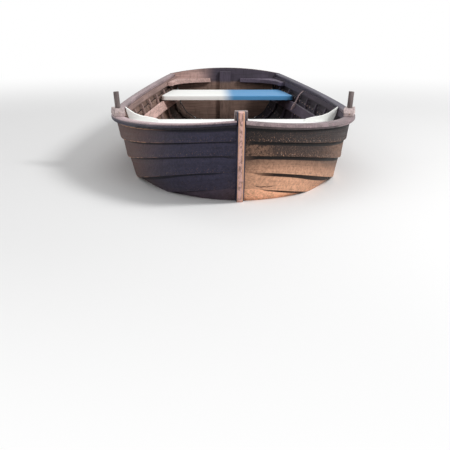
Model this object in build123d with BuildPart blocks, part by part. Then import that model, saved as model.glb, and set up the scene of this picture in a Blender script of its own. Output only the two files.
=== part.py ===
from build123d import *
from functools import cache
from math import cos, radians, sin, sqrt, tan
import os

# Rowing boat, clinker planked. Units are millimetres.
# The origin lies on the water plane, midships on the centreline.
# The bow points along -Y, port is +X, up is +Z.

# Whole boat
LENGTH = 4000.0
HALF_LENGTH = LENGTH / 2
FIT = 0.5
LOOSE = 1.5

# Backbone
KEEL_SEAM_Z = -130.0
KEEL_DEPTH = 42.0
KEEL_WIDTH = 48.0
KEEL_UPSTAND = 28.0
SEAM_X = KEEL_WIDTH / 2
KEEL_RISE = 80.0
STEM_RAKE = 25.0
STEM_BEND_R = 500.0
STEM_CORNER_SET = 305.0
STEM_CORNER_Y = STEM_CORNER_SET - HALF_LENGTH
STEM_NOSE = KEEL_DEPTH
STEM_NOSE_WIDTH = 31.0
STEM_BACK = KEEL_UPSTAND
STEM_HEAD_Z = 520.0
APRON_WIDTH = 70.0
APRON_DEPTH = 40.0
HOG_WIDTH = 80.0
HOG_THICK = 22.0

# Transom
TRANSOM_RAKE = 10.0
TRANSOM_THICK = 28.0
TRANSOM_CORNER_Z = 359.0
TRANSOM_CROWN_Z = 405.0
STERN_POST_WIDTH = 88.0
STERN_POST_DEPTH = 32.0
POST_TOP_DROP = 28.0
POST_FOOT_GAP = 12.0
HOG_END_GAP = 6.0

# Planking
PLANK = 13.0
PLANK_AT_STEM = 5.0
LAP = 24.0
LAP_FADE = 0.11
END_REACH = 45.0
STATION_COUNT = 22
BOW_CLOSENESS = 1.6
STATION_STEP = 0.004
TOP_EDGE = 0.3
MIN_BEVEL = 0.4
AFT_REACH = 0.2
STERN_REACH = 0.3
STERN_TUCK = 1.5
STERN_LIFT = 1.6

# Plank edges as seen from outside, keel to sheer.
# stem z, entry angle, entry reach, entry fall, middle x, y, z, middle reach, stern x, z
EDGES = (
    (-66.0, 84.0, 185.0, 0.13, 190.0, -147.0, -120.0, 1000.0, 120.0, -42.0),
    (1.0, 81.0, 353.0, 0.12, 345.0, -196.0, -109.0, 930.0, 222.0, -22.0),
    (76.0, 77.5, 504.0, 0.09, 491.0, -243.0, -92.0, 826.0, 305.0, 22.0),
    (175.0, 72.7, 605.0, 0.07, 616.0, -278.0, -40.0, 700.0, 362.0, 92.0),
    (270.0, 66.5, 647.0, 0.06, 673.0, -312.0, 75.0, 557.0, 392.0, 172.0),
    (355.0, 60.0, 660.0, 0.10, 716.0, -373.0, 191.0, 425.0, 410.0, 256.0),
    (447.0, 52.7, 649.0, 0.15, 748.0, -421.0, 308.0, 270.0, 421.0, 337.0),
)
STRAKES = len(EDGES)

# Rails
CAP_WIDTH = 77.0
CAP_WIDTH_AFT = 50.0
CAP_TAPER = 0.6
CAP_OVERHANG = 2.0
CAP_THICK = 22.0
RUB_WIDTH = 25.0
RUB_DEPTH = 11.0
INWALE_WIDTH = 14.0
INWALE_DEPTH = 34.0
RAIL_ROUND = 9.0
RAIL_DROP = 0.2
INWALE_GAP = 3.0
RAIL_EASE = 0.3
RUB_ROUND = 0.7

# Ribs, fore to aft
RIB_WIDTH = 24.0
RIB_THICK = 14.0
RIB_BOW_GAP = 800.0
RIB_STERN_GAP = 300.0
RIB_COUNT = 11
RIB_PITCH = (LENGTH - RIB_BOW_GAP - RIB_STERN_GAP) / (RIB_COUNT - 1)
RIB_HEAD_GAP = 10.0

# Thwarts and risers
THWART_THICK = 32.0
THWART_EASE = 4.0
THWART_CORNER_R = 30.0
FORE_THWART_Y = (-216.0, 24.0)
FORE_THWART_Z = 232.0
FORE_THWART_GAP = 22.0
AFT_THWART_WIDTH = 455.0
AFT_THWART_STERN_GAP = 345.0
AFT_THWART_Y = (HALF_LENGTH - AFT_THWART_STERN_GAP - AFT_THWART_WIDTH, HALF_LENGTH - AFT_THWART_STERN_GAP)
AFT_THWART_Z = 262.0
AFT_THWART_GAP = 16.0
RISER_WIDTH = 68.0
RISER_THICK = 16.0
RISER_BOW_GAP = 1380.0
RISER_STERN_GAP = 220.0
RISER_Y = (RISER_BOW_GAP - HALF_LENGTH, HALF_LENGTH - RISER_STERN_GAP)

# Knee on the forward thwart, its half breadths and heights above the thwart
KNEE_Y = (FORE_THWART_Y[0] + FORE_THWART_Y[1]) / 2
KNEE_THICK = 34.0
KNEE_PROFILE = (
    (473.0, 0.0), (492.0, 16.0), (530.0, 26.0), (598.0, 38.0), (638.0, 53.0),
    (670.0, 74.0), (702.0, 97.0), (695.0, 65.0), (684.0, 34.0), (668.0, 0.0),
)

# Quarter knees and breasthook
QUARTER_POST_ARM = 270.0
QUARTER_THICK = 29.0
QUARTER_ARM_DEPTH = 46.0
QUARTER_TIP_DEPTH = 38.0
QUARTER_THROAT = (92.0, 118.0)
HOOK_TOP_Z = 366.0
HOOK_THICK = 30.0
HOOK_LENGTH = 150.0

# Bottom boards
BOARD_WIDTH = 118.0
BOARD_THICK = 12.0
BOARD_PITCH = 132.0
BOARD_BOW_GAP = 1170.0
BOARD_STERN_GAP = 970.0
BOARD_Y = (BOARD_BOW_GAP - HALF_LENGTH, HALF_LENGTH - BOARD_STERN_GAP)

# Thole blocks and pins
THOLE_Y = -596.0
BLOCK_LENGTH = 260.0
BLOCK_WIDTH = 60.0
BLOCK_HEIGHT = 42.0
BLOCK_SHOULDER = 19.0
BLOCK_SLANT = 34.0
BLOCK_SEAT = 2.0
BLOCK_SET_IN = 5.0
PIN_D = 34.0
PIN_ABOVE = 100.0
PIN_LEAN = 6.0
SHANK_D = 26.0
SHANK_LENGTH = 36.0

# Rope tail hanging inside the port rail: half breadths and heights of its route
ROPE_D = 9.0
ROPE_Y = 1020.0
ROPE_ROUTE = ((543.0, 304.0), (528.0, 284.0), (518.0, 262.0), (506.0, 240.0))
ROPE_START_Z = 316.0
ROPE_END_D = 19.0
ROPE_END_LENGTH = 74.0


def stem_y(z):
    """Fore and aft place of the stem seam at a height."""
    reach = STEM_BEND_R * tan(radians((90 - STEM_RAKE) / 2))
    z_tangent = KEEL_SEAM_Z + reach * cos(radians(STEM_RAKE))
    if z >= z_tangent:
        return STEM_CORNER_Y - (z - KEEL_SEAM_Z) * tan(radians(STEM_RAKE))
    drop = z - KEEL_SEAM_Z - STEM_BEND_R
    return STEM_CORNER_Y + reach - sqrt(max(STEM_BEND_R**2 - drop**2, 0.0))


def transom_y(z):
    """Aft face of the transom at a height."""
    return HALF_LENGTH - (TRANSOM_CORNER_Z - z) * tan(radians(TRANSOM_RAKE))


STEM_REACH = STEM_BEND_R * tan(radians((90 - STEM_RAKE) / 2))
FOREFOOT_Y = STEM_CORNER_Y + STEM_REACH
HEEL_SEAM_Z = KEEL_SEAM_Z + KEEL_RISE
HEEL_Y = transom_y(HEEL_SEAM_Z)
ROCKER_R = (HEEL_Y**2 + KEEL_RISE**2) / (2 * KEEL_RISE)


def seam_z(y):
    """Height of the keel seam, straight forward and rising aft on an arc."""
    if y <= 0:
        return KEEL_SEAM_Z
    return KEEL_SEAM_Z + ROCKER_R - sqrt(ROCKER_R**2 - y**2)


def bezier(points, t):
    """Point of a cubic through four control points."""
    a, b, c, d = points
    v = 1 - t
    return a * v**3 + b * (3 * t * v * v) + c * (3 * t * t * v) + d * t**3


def share_at(s):
    """Share of a plank's length at station share s, closer spaced at the bow."""
    return s**BOW_CLOSENESS


def on_curve(points, y):
    """Point of a cubic where it crosses y."""
    a, b, c, d = (p.Y for p in points)
    low = 0.0
    high = 1.0
    for _ in range(34):
        t = (low + high) / 2
        v = 1 - t
        if a * v**3 + 3 * b * t * v * v + 3 * c * t * t * v + d * t**3 < y:
            low = t
        else:
            high = t
    return bezier(points, low)


@cache
def run_points(k):
    """Control points of outside plank edge k, forward half and aft half."""
    stem_z, entry, reach, fall, mid_x, mid_y, mid_z, mid_reach, aft_x, aft_z = EDGES[k - 1]
    start = Vector(SEAM_X, stem_y(stem_z), stem_z)
    mid = Vector(mid_x, mid_y, mid_z)
    end = Vector(aft_x, transom_y(aft_z), aft_z)
    entry_way = Vector(sin(radians(entry)), cos(radians(entry)), -fall)
    run = end.Y - mid.Y
    exit_way = Vector((end.X - mid.X) / run * STERN_TUCK, 1, (end.Z - mid.Z) / run * STERN_LIFT)
    fore = (start, start + entry_way * reach, mid - Vector(0, mid_reach, 0), mid)
    aft = (mid, mid + Vector(0, run * AFT_REACH, 0), end - exit_way * (run * STERN_REACH), end)
    return fore, aft


@cache
def edge(k, s):
    """Outside plank edge k at station share s, keel seam for k = 0."""
    if k == 0:
        y = FOREFOOT_Y + (HEEL_Y - FOREFOOT_Y) * share_at(s)
        return Vector(SEAM_X, y, seam_z(y))
    fore, aft = run_points(k)
    y = fore[0].Y + (aft[3].Y - fore[0].Y) * share_at(s)
    if y < aft[0].Y:
        return on_curve(fore, y)
    return on_curve(aft, y)


def plank_at(s):
    """Plank thickness, thinned where the laps fade into the stem."""
    share = min(s / LAP_FADE, 1.0)
    return PLANK_AT_STEM + (PLANK - PLANK_AT_STEM) * share * (2 - share)


def run_at(k, s):
    """Direction along strake k, midway between its two edges."""
    s0 = max(s - STATION_STEP, 0.0)
    s1 = min(s + STATION_STEP, 1.0)
    return (edge(k - 1, s1) + edge(k, s1) - edge(k - 1, s0) - edge(k, s0)).normalized()


@cache
def rest_line(k, s):
    """Line on strake k where the next strake's inside bottom edge rests."""
    if k == STRAKES:
        return edge(k, s)
    return edge(k, s) - facing(k + 1, s)[1] * (plank_at(s) + FIT)


@cache
def facing(k, s):
    """Upward and outward directions and the run of strake k."""
    run = run_at(k, s)
    rise = rest_line(k, s) - edge(k - 1, s)
    out = run.cross(rise).normalized()
    return out.cross(run).normalized(), out, run


def level_in(point, out, up, run, depth):
    """Step square in through a plank, then back along its face to the same level."""
    level_out = run.cross(Vector(0, 0, 1)).normalized()
    level_up = level_out.cross(run).normalized()
    inner = point - out * depth
    return inner - up * ((inner - point).dot(level_up) / up.dot(level_up))


@cache
def top_corners(k, s):
    """Outer and inner corner of the top edge of strake k."""
    up, out, run = facing(k, s)
    rise = (rest_line(k, s) - edge(k - 1, s)).normalized()
    t = plank_at(s)
    rest = rest_line(k, s)
    if k == STRAKES:
        return rest, level_in(rest, out, up, run, t)
    next_up, next_out, next_run = facing(k + 1, s)
    lean = -next_up.dot(out) / next_up.dot(up)
    lap = min(LAP, t * (1 - TOP_EDGE) / max(lean, 0.01))
    tip = rest + rise * lap
    return tip - out * max(lap * lean, MIN_BEVEL), tip - out * t


def onto_end(point, run, s):
    """Slide a point along the run onto the stem side or the transom face."""
    if s == 0:
        reach = min((SEAM_X + FIT - point.X) / run.X, END_REACH)
        return Vector(SEAM_X + FIT, point.Y + run.Y * reach, point.Z + run.Z * reach)
    if s == 1:
        slope = tan(radians(TRANSOM_RAKE))
        gap = transom_y(point.Z) - point.Y
        return point + run * (gap / (run.Y - run.Z * slope))
    return point


def strake_section(k, s):
    """Corners of strake k across its run, with the bevelled lap at the top."""
    up, out, run = facing(k, s)
    t = plank_at(s)
    low = edge(k - 1, s)
    outer, inner = top_corners(k, s)
    rise = (rest_line(k, s) - low).normalized()
    out = run.cross(rise).normalized()
    inner_low = low - out * t
    if k == 1:
        low, inner_low = (Vector(SEAM_X + FIT, p.Y, p.Z) for p in (low, inner_low))
    corners = [inner_low, low, rest_line(k, s), outer, inner]
    if k == STRAKES:
        corners = [inner_low, low, outer, inner]
    return [onto_end(corner, run, s) for corner in corners]


def flat(points):
    """Plane through a ring of points and their places on it."""
    origin = points[0]
    x_dir = (points[-1] - origin).normalized()
    normal = x_dir.cross(points[1] - origin).normalized()
    plane = Plane(origin=origin, x_dir=x_dir, z_dir=normal)
    return plane, places(plane, points)


def places(plane, points):
    """Flat coordinates of points lying on a plane."""
    local = [plane.to_local_coords(p) for p in points]
    return [(p.X, p.Y) for p in local]


def inside_edge(k, s):
    """Inside top edge of strake k, or the keel seam inside for k = 0."""
    if k == 0:
        return edge(0, s) - facing(1, s)[1] * plank_at(s)
    return top_corners(k, s)[1]


@cache
def meet(k, y, slope=0.0):
    """Point where inside edge k crosses the plane through y that leans by slope."""
    low = 0.0
    high = 1.0
    for _ in range(26):
        s = (low + high) / 2
        point = inside_edge(k, s)
        if point.Y - point.Z * slope < y:
            low = s
        else:
            high = s
    return inside_edge(k, low)


def hull_x(y, z):
    """Clear half breadth inside the planking at a height."""
    ring = [meet(k, y) for k in range(STRAKES + 1)]
    for low, high in zip(ring, ring[1:]):
        if z < high.Z:
            return low.X + (high.X - low.X) * max(z - low.Z, 0.0) / (high.Z - low.Z)
    return ring[-1].X


def rib_seat(y):
    """Half line under a rib, over the hog and along the inside plank edges."""
    hog_top = seam_z(y) + KEEL_UPSTAND + FIT + HOG_THICK
    ring = [meet(k, y) for k in range(1, STRAKES + 1)]
    return [(0, hog_top), (HOG_WIDTH / 2 + 1, hog_top)] + [(p.X, p.Z) for p in ring]


def seat_z(y, x):
    """Height of the rib seat at a half breadth."""
    line = rib_seat(y)
    for low, high in zip(line, line[1:]):
        if x < high[0]:
            return low[1] + (high[1] - low[1]) * (x - low[0]) / (high[0] - low[0])
    return line[-1][1]


def offset_in(points, gap):
    """Open line of flat points moved to its left by a gap, corners mitred."""
    moved = []
    for i, p in enumerate(points):
        before = points[max(i - 1, 0)]
        after = points[min(i + 1, len(points) - 1)]
        normals = []
        for q, r in ((before, p), (p, after)):
            dx = r[0] - q[0]
            dy = r[1] - q[1]
            size = sqrt(dx * dx + dy * dy)
            if size > 0:
                normals.append((-dy / size, dx / size))
        nx = sum(n[0] for n in normals) / len(normals)
        ny = sum(n[1] for n in normals) / len(normals)
        square = nx * nx + ny * ny
        moved.append((p[0] + gap * nx / square, p[1] + gap * ny / square))
    return moved


def sheer_frame(s):
    """Sheer point of the top strake with the level outward and the upward way."""
    s0 = max(s - STATION_STEP, 0.0)
    s1 = min(s + STATION_STEP, 1.0)
    run = (edge(STRAKES, s1) - edge(STRAKES, s0)).normalized()
    out = run.cross(Vector(0, 0, 1)).normalized()
    return edge(STRAKES, s), out, out.cross(run).normalized(), run


def rail_ends(point, run, s, bow_x, stern_gap):
    """Slide a rail corner to its bow plane or to its stern plane."""
    if s == 0:
        return point + run * ((bow_x - point.X) / run.X)
    if s == 1:
        slope = tan(radians(TRANSOM_RAKE))
        gap = transom_y(point.Z) - stern_gap - point.Y
        return point + run * (gap / (run.Y - run.Z * slope))
    return point


def keep(builder, name):
    """Name a finished piece and write it."""
    builder.part.label = name
    export_step(builder.part, f"parts/{name}.step")


os.makedirs("parts", exist_ok=True)

STATIONS = [i / (STATION_COUNT - 1) for i in range(STATION_COUNT)]
SLOPE = tan(radians(TRANSOM_RAKE))
TRANSOM_RUN = TRANSOM_THICK / cos(radians(TRANSOM_RAKE))
TRANSOM_FOOT_Y = HALF_LENGTH - TRANSOM_CORNER_Z * SLOPE

# Strakes
for k in range(1, STRAKES + 1):
    with BuildPart() as port:
        for s in STATIONS:
            plane, ring = flat(strake_section(k, s))
            with BuildSketch(plane):
                with BuildLine():
                    Polyline(*ring, close=True)
                make_face()
        loft()
    keep(port, f"strake_{k}_port")
    with BuildPart() as starboard:
        mirror(port.part, about=Plane.YZ)
    keep(starboard, f"strake_{k}_starboard")

# Stem, swept down the line of the seam
HEAD_SPARE = APRON_DEPTH + STEM_BACK
stem_top = Vector(0, stem_y(STEM_HEAD_Z + HEAD_SPARE), STEM_HEAD_Z + HEAD_SPARE)
bend_start = Vector(0, STEM_CORNER_Y - STEM_REACH * sin(radians(STEM_RAKE)),
                    KEEL_SEAM_Z + STEM_REACH * cos(radians(STEM_RAKE)))
down = (bend_start - stem_top).normalized()
stem_plane = Plane(origin=stem_top, x_dir=(1, 0, 0), z_dir=down)
ahead = 1 if stem_plane.y_dir.Y < 0 else -1
with BuildPart() as stem:
    with BuildLine(Plane.YZ) as seam:
        Line((stem_top.Y, stem_top.Z), (bend_start.Y, bend_start.Z))
        TangentArc((bend_start.Y, bend_start.Z), (FOREFOOT_Y, KEEL_SEAM_Z), tangent=(down.Y, down.Z))
    with BuildSketch(stem_plane):
        with BuildLine():
            Polyline(
                (-SEAM_X, -ahead * STEM_BACK),
                (SEAM_X, -ahead * STEM_BACK),
                (SEAM_X, 0),
                (STEM_NOSE_WIDTH / 2, ahead * STEM_NOSE),
                (-STEM_NOSE_WIDTH / 2, ahead * STEM_NOSE),
                (-SEAM_X, 0),
                close=True,
            )
        make_face()
    sweep(path=seam.line)
    split(bisect_by=Plane.XY.offset(STEM_HEAD_Z), keep=Keep.BOTTOM)
keep(stem, "stem")

# Apron behind the stem, its head standing above the rails
with BuildPart() as apron:
    with BuildLine(Plane.YZ) as seam:
        Line((stem_top.Y, stem_top.Z), (bend_start.Y, bend_start.Z))
        TangentArc((bend_start.Y, bend_start.Z), (FOREFOOT_Y, KEEL_SEAM_Z), tangent=(down.Y, down.Z))
    with BuildSketch(stem_plane):
        with Locations((0, -ahead * (STEM_BACK + FIT + APRON_DEPTH / 2))):
            Rectangle(APRON_WIDTH, APRON_DEPTH)
    sweep(path=seam.line)
    split(bisect_by=Plane.XY.offset(STEM_HEAD_Z), keep=Keep.BOTTOM)
keep(apron, "apron")

# Keel with its top following the seam
with BuildPart() as keel:
    with BuildSketch(Plane.YZ):
        with BuildLine():
            top_z = KEEL_SEAM_Z + KEEL_UPSTAND
            heel_top = HEEL_SEAM_Z + KEEL_UPSTAND
            Line((0, top_z), (FOREFOOT_Y + FIT, top_z))
            Line((FOREFOOT_Y + FIT, top_z), (FOREFOOT_Y + FIT, KEEL_SEAM_Z - KEEL_DEPTH))
            Line((FOREFOOT_Y + FIT, KEEL_SEAM_Z - KEEL_DEPTH), (HEEL_Y, KEEL_SEAM_Z - KEEL_DEPTH))
            Line((HEEL_Y, KEEL_SEAM_Z - KEEL_DEPTH), (HEEL_Y, heel_top))
            ThreePointArc((HEEL_Y, heel_top), (HEEL_Y / 2, seam_z(HEEL_Y / 2) + KEEL_UPSTAND), (0, top_z))
        make_face()
    extrude(amount=KEEL_WIDTH / 2, both=True)
keep(keel, "keel")

# Hog on top of the keel
HOG_END_Y = TRANSOM_FOOT_Y - TRANSOM_RUN + HEEL_SEAM_Z * SLOPE - STERN_POST_DEPTH - HOG_END_GAP
with BuildPart() as hog:
    with BuildSketch(Plane.YZ):
        with BuildLine():
            low_z = KEEL_UPSTAND + FIT
            high_z = low_z + HOG_THICK
            start = FOREFOOT_Y + FIT
            Line((0, KEEL_SEAM_Z + high_z), (start, KEEL_SEAM_Z + high_z))
            Line((start, KEEL_SEAM_Z + high_z), (start, KEEL_SEAM_Z + low_z))
            Line((start, KEEL_SEAM_Z + low_z), (0, KEEL_SEAM_Z + low_z))
            half = HOG_END_Y / 2
            ThreePointArc((0, KEEL_SEAM_Z + low_z), (half, seam_z(half) + low_z),
                          (HOG_END_Y, seam_z(HOG_END_Y) + low_z))
            Line((HOG_END_Y, seam_z(HOG_END_Y) + low_z), (HOG_END_Y, seam_z(HOG_END_Y) + high_z))
            ThreePointArc((HOG_END_Y, seam_z(HOG_END_Y) + high_z), (half, seam_z(half) + high_z),
                          (0, KEEL_SEAM_Z + high_z))
        make_face()
    extrude(amount=HOG_WIDTH / 2, both=True)
keep(hog, "hog")


# Transom, its rim fitted to the planks, with ears over the plank ends
def transom_ring(offset):
    """Half outline of the transom at an offset forward, keel notch to ear."""
    y = TRANSOM_FOOT_Y - offset
    seat = HEEL_SEAM_Z + KEEL_UPSTAND + FIT
    edges = [meet(k, y, SLOPE) for k in range(1, STRAKES + 1)]
    top = edges[-1]
    ear_z = edge(STRAKES, 1).Z + FIT
    ear_x = edge(STRAKES, 1).X + RUB_WIDTH
    half = [(0, seat), (SEAM_X + FIT, seat), (SEAM_X + FIT, HEEL_SEAM_Z + PLANK + 2 * FIT)]
    half += [(p.X - LOOSE, p.Z + LOOSE / 2) for p in edges[:-1]]
    half += [(top.X - LOOSE, ear_z), (ear_x, ear_z), (ear_x, TRANSOM_CORNER_Z)]
    return [Vector(x, y + z * SLOPE, z) for x, z in half]


with BuildPart() as transom:
    for offset in (0.0, TRANSOM_RUN):
        half = transom_ring(offset)
        plane = Plane(origin=half[0], x_dir=(1, 0, 0), z_dir=(0, 1, -SLOPE))
        ring = places(plane, half)
        crown = plane.to_local_coords(Vector(0, TRANSOM_FOOT_Y - offset + TRANSOM_CROWN_Z * SLOPE,
                                             TRANSOM_CROWN_Z))
        mirrored = [(-x, y) for x, y in reversed(ring[1:])]
        with BuildSketch(plane):
            with BuildLine():
                Polyline(*mirrored, *ring)
                ThreePointArc(ring[-1], (0, crown.Y), mirrored[0])
            make_face()
    loft(ruled=True)
keep(transom, "transom")

# Stern post inside the transom
POST_TOP_Z = TRANSOM_CROWN_Z - POST_TOP_DROP
POST_FOOT_Z = HEEL_SEAM_Z + KEEL_UPSTAND + POST_FOOT_GAP
post_y = TRANSOM_FOOT_Y - TRANSOM_RUN - FIT
with BuildPart() as stern_post:
    with BuildSketch(Plane.YZ):
        with BuildLine():
            Polyline(
                (post_y + POST_FOOT_Z * SLOPE, POST_FOOT_Z),
                (post_y + POST_TOP_Z * SLOPE, POST_TOP_Z),
                (post_y + POST_TOP_Z * SLOPE - STERN_POST_DEPTH, POST_TOP_Z),
                (post_y + POST_FOOT_Z * SLOPE - STERN_POST_DEPTH, POST_FOOT_Z),
                close=True,
            )
        make_face()
    extrude(amount=STERN_POST_WIDTH / 2, both=True)
keep(stern_post, "stern_post")


# Rails along the sheer
def cap_width(s):
    """Width of the capping rail, narrowing aft from the bow."""
    return CAP_WIDTH + (CAP_WIDTH_AFT - CAP_WIDTH) * min(share_at(s) / CAP_TAPER, 1.0)


def cap_section(s):
    """Corners of the capping rail, its top edges eased."""
    at, out, up, run = sheer_frame(s)
    low = at + up * LOOSE
    outer = RUB_WIDTH + CAP_OVERHANG
    inner = outer - cap_width(s)
    ease = RAIL_ROUND
    nip = RAIL_EASE * ease
    spots = ((inner, 0), (outer, 0), (outer, CAP_THICK - ease), (outer - nip, CAP_THICK - nip),
             (outer - ease, CAP_THICK), (inner + ease, CAP_THICK),
             (inner + nip, CAP_THICK - nip), (inner, CAP_THICK - ease))
    corners = [low + out * x + up * z for x, z in spots]
    return [rail_ends(p, run, s, SEAM_X + FIT, TRANSOM_RUN + FIT) for p in corners]


def rub_section(s):
    """Corners of the rubbing rail on the outside of the top strake."""
    at, out, up, run = sheer_frame(s)
    face_up, face_out, _ = facing(STRAKES, s)
    top = at + face_out * LOOSE - up * RAIL_DROP
    low = at + face_out * LOOSE - face_up * RUB_DEPTH
    ease = RAIL_ROUND * RUB_ROUND
    corners = [top, low, low + out * (RUB_WIDTH - ease)]
    corners += [low + out * RUB_WIDTH + up * ease, top + out * RUB_WIDTH]
    corners = [p - run * (p - at).dot(run) for p in corners]
    return [rail_ends(p, run, s, SEAM_X + FIT, 0.0) for p in corners]


def inwale_section(s):
    """Corners of the inwale on the inside of the top strake."""
    at, out, up, run = sheer_frame(s)
    face_up, face_out, _ = facing(STRAKES, s)
    top = level_in(at, face_out, face_up, run, plank_at(s) + INWALE_GAP) - up * RAIL_DROP
    low = top - face_up * INWALE_DEPTH
    corners = [top, low, low - out * INWALE_WIDTH, top - out * INWALE_WIDTH]
    corners = [p - run * (p - at).dot(run) for p in corners]
    return [rail_ends(p, run, s, APRON_WIDTH / 2 + 2 * LOOSE, TRANSOM_RUN + FIT) for p in corners]


for name, section in (("cap", cap_section), ("rub", rub_section), ("inwale", inwale_section)):
    with BuildPart() as port:
        for s in STATIONS:
            plane, ring = flat(section(s))
            with BuildSketch(plane):
                with BuildLine():
                    Polyline(*ring, close=True)
                make_face()
        loft()
        if name == "cap":
            with BuildSketch(Plane.YZ):
                with BuildLine():
                    high = STEM_HEAD_Z
                    low = TRANSOM_CORNER_Z
                    spots = [(stem_y(z) + gap / cos(radians(STEM_RAKE)), z) for z, gap in (
                        (high, STEM_BACK), (low, STEM_BACK),
                        (low, STEM_BACK + APRON_DEPTH + 2 * FIT), (high, STEM_BACK + APRON_DEPTH + 2 * FIT))]
                    Polyline(*spots, close=True)
                make_face()
            extrude(amount=APRON_WIDTH / 2 + FIT, both=True, mode=Mode.SUBTRACT)
    keep(port, f"{name}_rail_port")
    with BuildPart() as starboard:
        mirror(port.part, about=Plane.YZ)
    keep(starboard, f"{name}_rail_starboard")

# Bent ribs, rail to rail
HEAD_DROP = INWALE_DEPTH + RIB_HEAD_GAP
for i in range(RIB_COUNT):
    centre = RIB_BOW_GAP - HALF_LENGTH + i * RIB_PITCH
    with BuildPart() as rib:
        for y in (centre - RIB_WIDTH / 2, centre + RIB_WIDTH / 2):
            line = rib_seat(y)
            last = line[-1]
            below = line[-2]
            cut = HEAD_DROP / (last[1] - below[1])
            line[-1] = (last[0] + (below[0] - last[0]) * cut, last[1] - HEAD_DROP)
            line = [(-x, z) for x, z in reversed(line[1:])] + line
            outer = offset_in(line, LOOSE)
            inner = offset_in(line, LOOSE + RIB_THICK)
            with BuildSketch(Plane(origin=(0, y, 0), x_dir=(1, 0, 0), z_dir=(0, -1, 0))):
                with BuildLine():
                    Polyline(*outer)
                    Polyline(*inner)
                    Line(outer[0], inner[0])
                    Line(outer[-1], inner[-1])
                make_face()
        loft(ruled=True)
    keep(rib, f"rib_{i + 1}")

# Thwarts
for name, (y0, y1), top, gap in (
    ("thwart_fore", FORE_THWART_Y, FORE_THWART_Z, FORE_THWART_GAP),
    ("thwart_aft", AFT_THWART_Y, AFT_THWART_Z, AFT_THWART_GAP),
):
    ys = [y0 + (y1 - y0) * i / 3 for i in range(4)]
    side = [(hull_x(y, top - THWART_THICK) - gap, y) for y in ys]
    outline = side + [(-x, y) for x, y in reversed(side)]
    with BuildPart() as thwart:
        with BuildSketch(Plane.XY.offset(top - THWART_THICK)):
            with BuildLine():
                Polyline(*outline, close=True)
            sheet = make_face()
            corners = [v for v in sheet.vertices() if abs(v.Y - y0) < 1 or abs(v.Y - y1) < 1]
            fillet(corners, THWART_CORNER_R)
        extrude(amount=THWART_THICK)
        chamfer(thwart.edges().group_by(Axis.Z)[-1], THWART_EASE)
    keep(thwart, name)


def riser_top(y):
    """Top of the risers, just under both thwarts."""
    fore = FORE_THWART_Z - THWART_THICK - FIT
    aft = AFT_THWART_Z - THWART_THICK - FIT
    return fore + (aft - fore) * (y - FORE_THWART_Y[1]) / (AFT_THWART_Y[1] - FORE_THWART_Y[1])


# Risers under the thwart ends
with BuildPart() as riser_port:
    for i in range(8):
        y = RISER_Y[0] + (RISER_Y[1] - RISER_Y[0]) * i / 7
        z1 = riser_top(y)
        z0 = z1 - RISER_WIDTH
        lean = (hull_x(y, z1) - hull_x(y, z0)) / RISER_WIDTH
        gap = (RIB_THICK + 2 * LOOSE) * sqrt(1 + lean * lean) + 1
        thick = RISER_THICK * sqrt(1 + lean * lean)
        x1 = hull_x(y, z1) - gap
        x0 = hull_x(y, z0) - gap
        with BuildSketch(Plane(origin=(0, y, 0), x_dir=(1, 0, 0), z_dir=(0, -1, 0))):
            with BuildLine():
                Polyline((x0, z0), (x1, z1), (x1 - thick, z1), (x0 - thick, z0), close=True)
            make_face()
    loft()
keep(riser_port, "riser_port")
with BuildPart() as riser_starboard:
    mirror(riser_port.part, about=Plane.YZ)
keep(riser_starboard, "riser_starboard")

# Standing knees on the forward thwart
knee_plane = Plane(origin=(0, KNEE_Y, FORE_THWART_Z + FIT), x_dir=(1, 0, 0), z_dir=(0, -1, 0))
with BuildPart() as knee_port:
    with BuildSketch(knee_plane):
        with BuildLine():
            Polyline(*KNEE_PROFILE, close=True)
        make_face()
    extrude(amount=KNEE_THICK / 2, both=True)
keep(knee_port, "thwart_knee_port")
with BuildPart() as knee_starboard:
    mirror(knee_port.part, about=Plane.YZ)
keep(knee_starboard, "thwart_knee_starboard")


def inwale_face(s, z):
    """Point on the inside face of the inwale at a height."""
    _, _, low, high = inwale_section(s)
    return low + (high - low) * ((z - low.Z) / (high.Z - low.Z))


# Quarter knees in the stern corners, level with the inwale
quarter_top = edge(STRAKES, 0.9).Z - 2 * LOOSE
with BuildPart() as quarter_port:
    for z in (quarter_top, quarter_top - QUARTER_THICK):
        stern = TRANSOM_FOOT_Y + z * SLOPE - TRANSOM_RUN - FIT
        rail = [inwale_face(s, z) for s in (0.94, 0.96, 0.98, 1.0)]
        slip = (rail[3].X - rail[2].X) / (rail[3].Y - rail[2].Y)
        corner_x = rail[3].X + slip * (stern - rail[3].Y) - 2 * LOOSE
        arm = [(p.X - 2 * LOOSE, p.Y) for p in rail[:3]]
        tip = (arm[0][0] - QUARTER_TIP_DEPTH, arm[0][1])
        end_x = corner_x - QUARTER_POST_ARM
        ring = arm + [(corner_x, stern), (end_x, stern), (end_x, stern - QUARTER_ARM_DEPTH)]
        with BuildSketch(Plane.XY.offset(z)):
            with BuildLine():
                Polyline(*ring)
                ThreePointArc(ring[-1], (corner_x - QUARTER_THROAT[0], stern - QUARTER_THROAT[1]), tip)
                Line(tip, ring[0])
            make_face()
    loft(ruled=True)
keep(quarter_port, "quarter_knee_port")
with BuildPart() as quarter_starboard:
    mirror(quarter_port.part, about=Plane.YZ)
keep(quarter_starboard, "quarter_knee_starboard")

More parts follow.
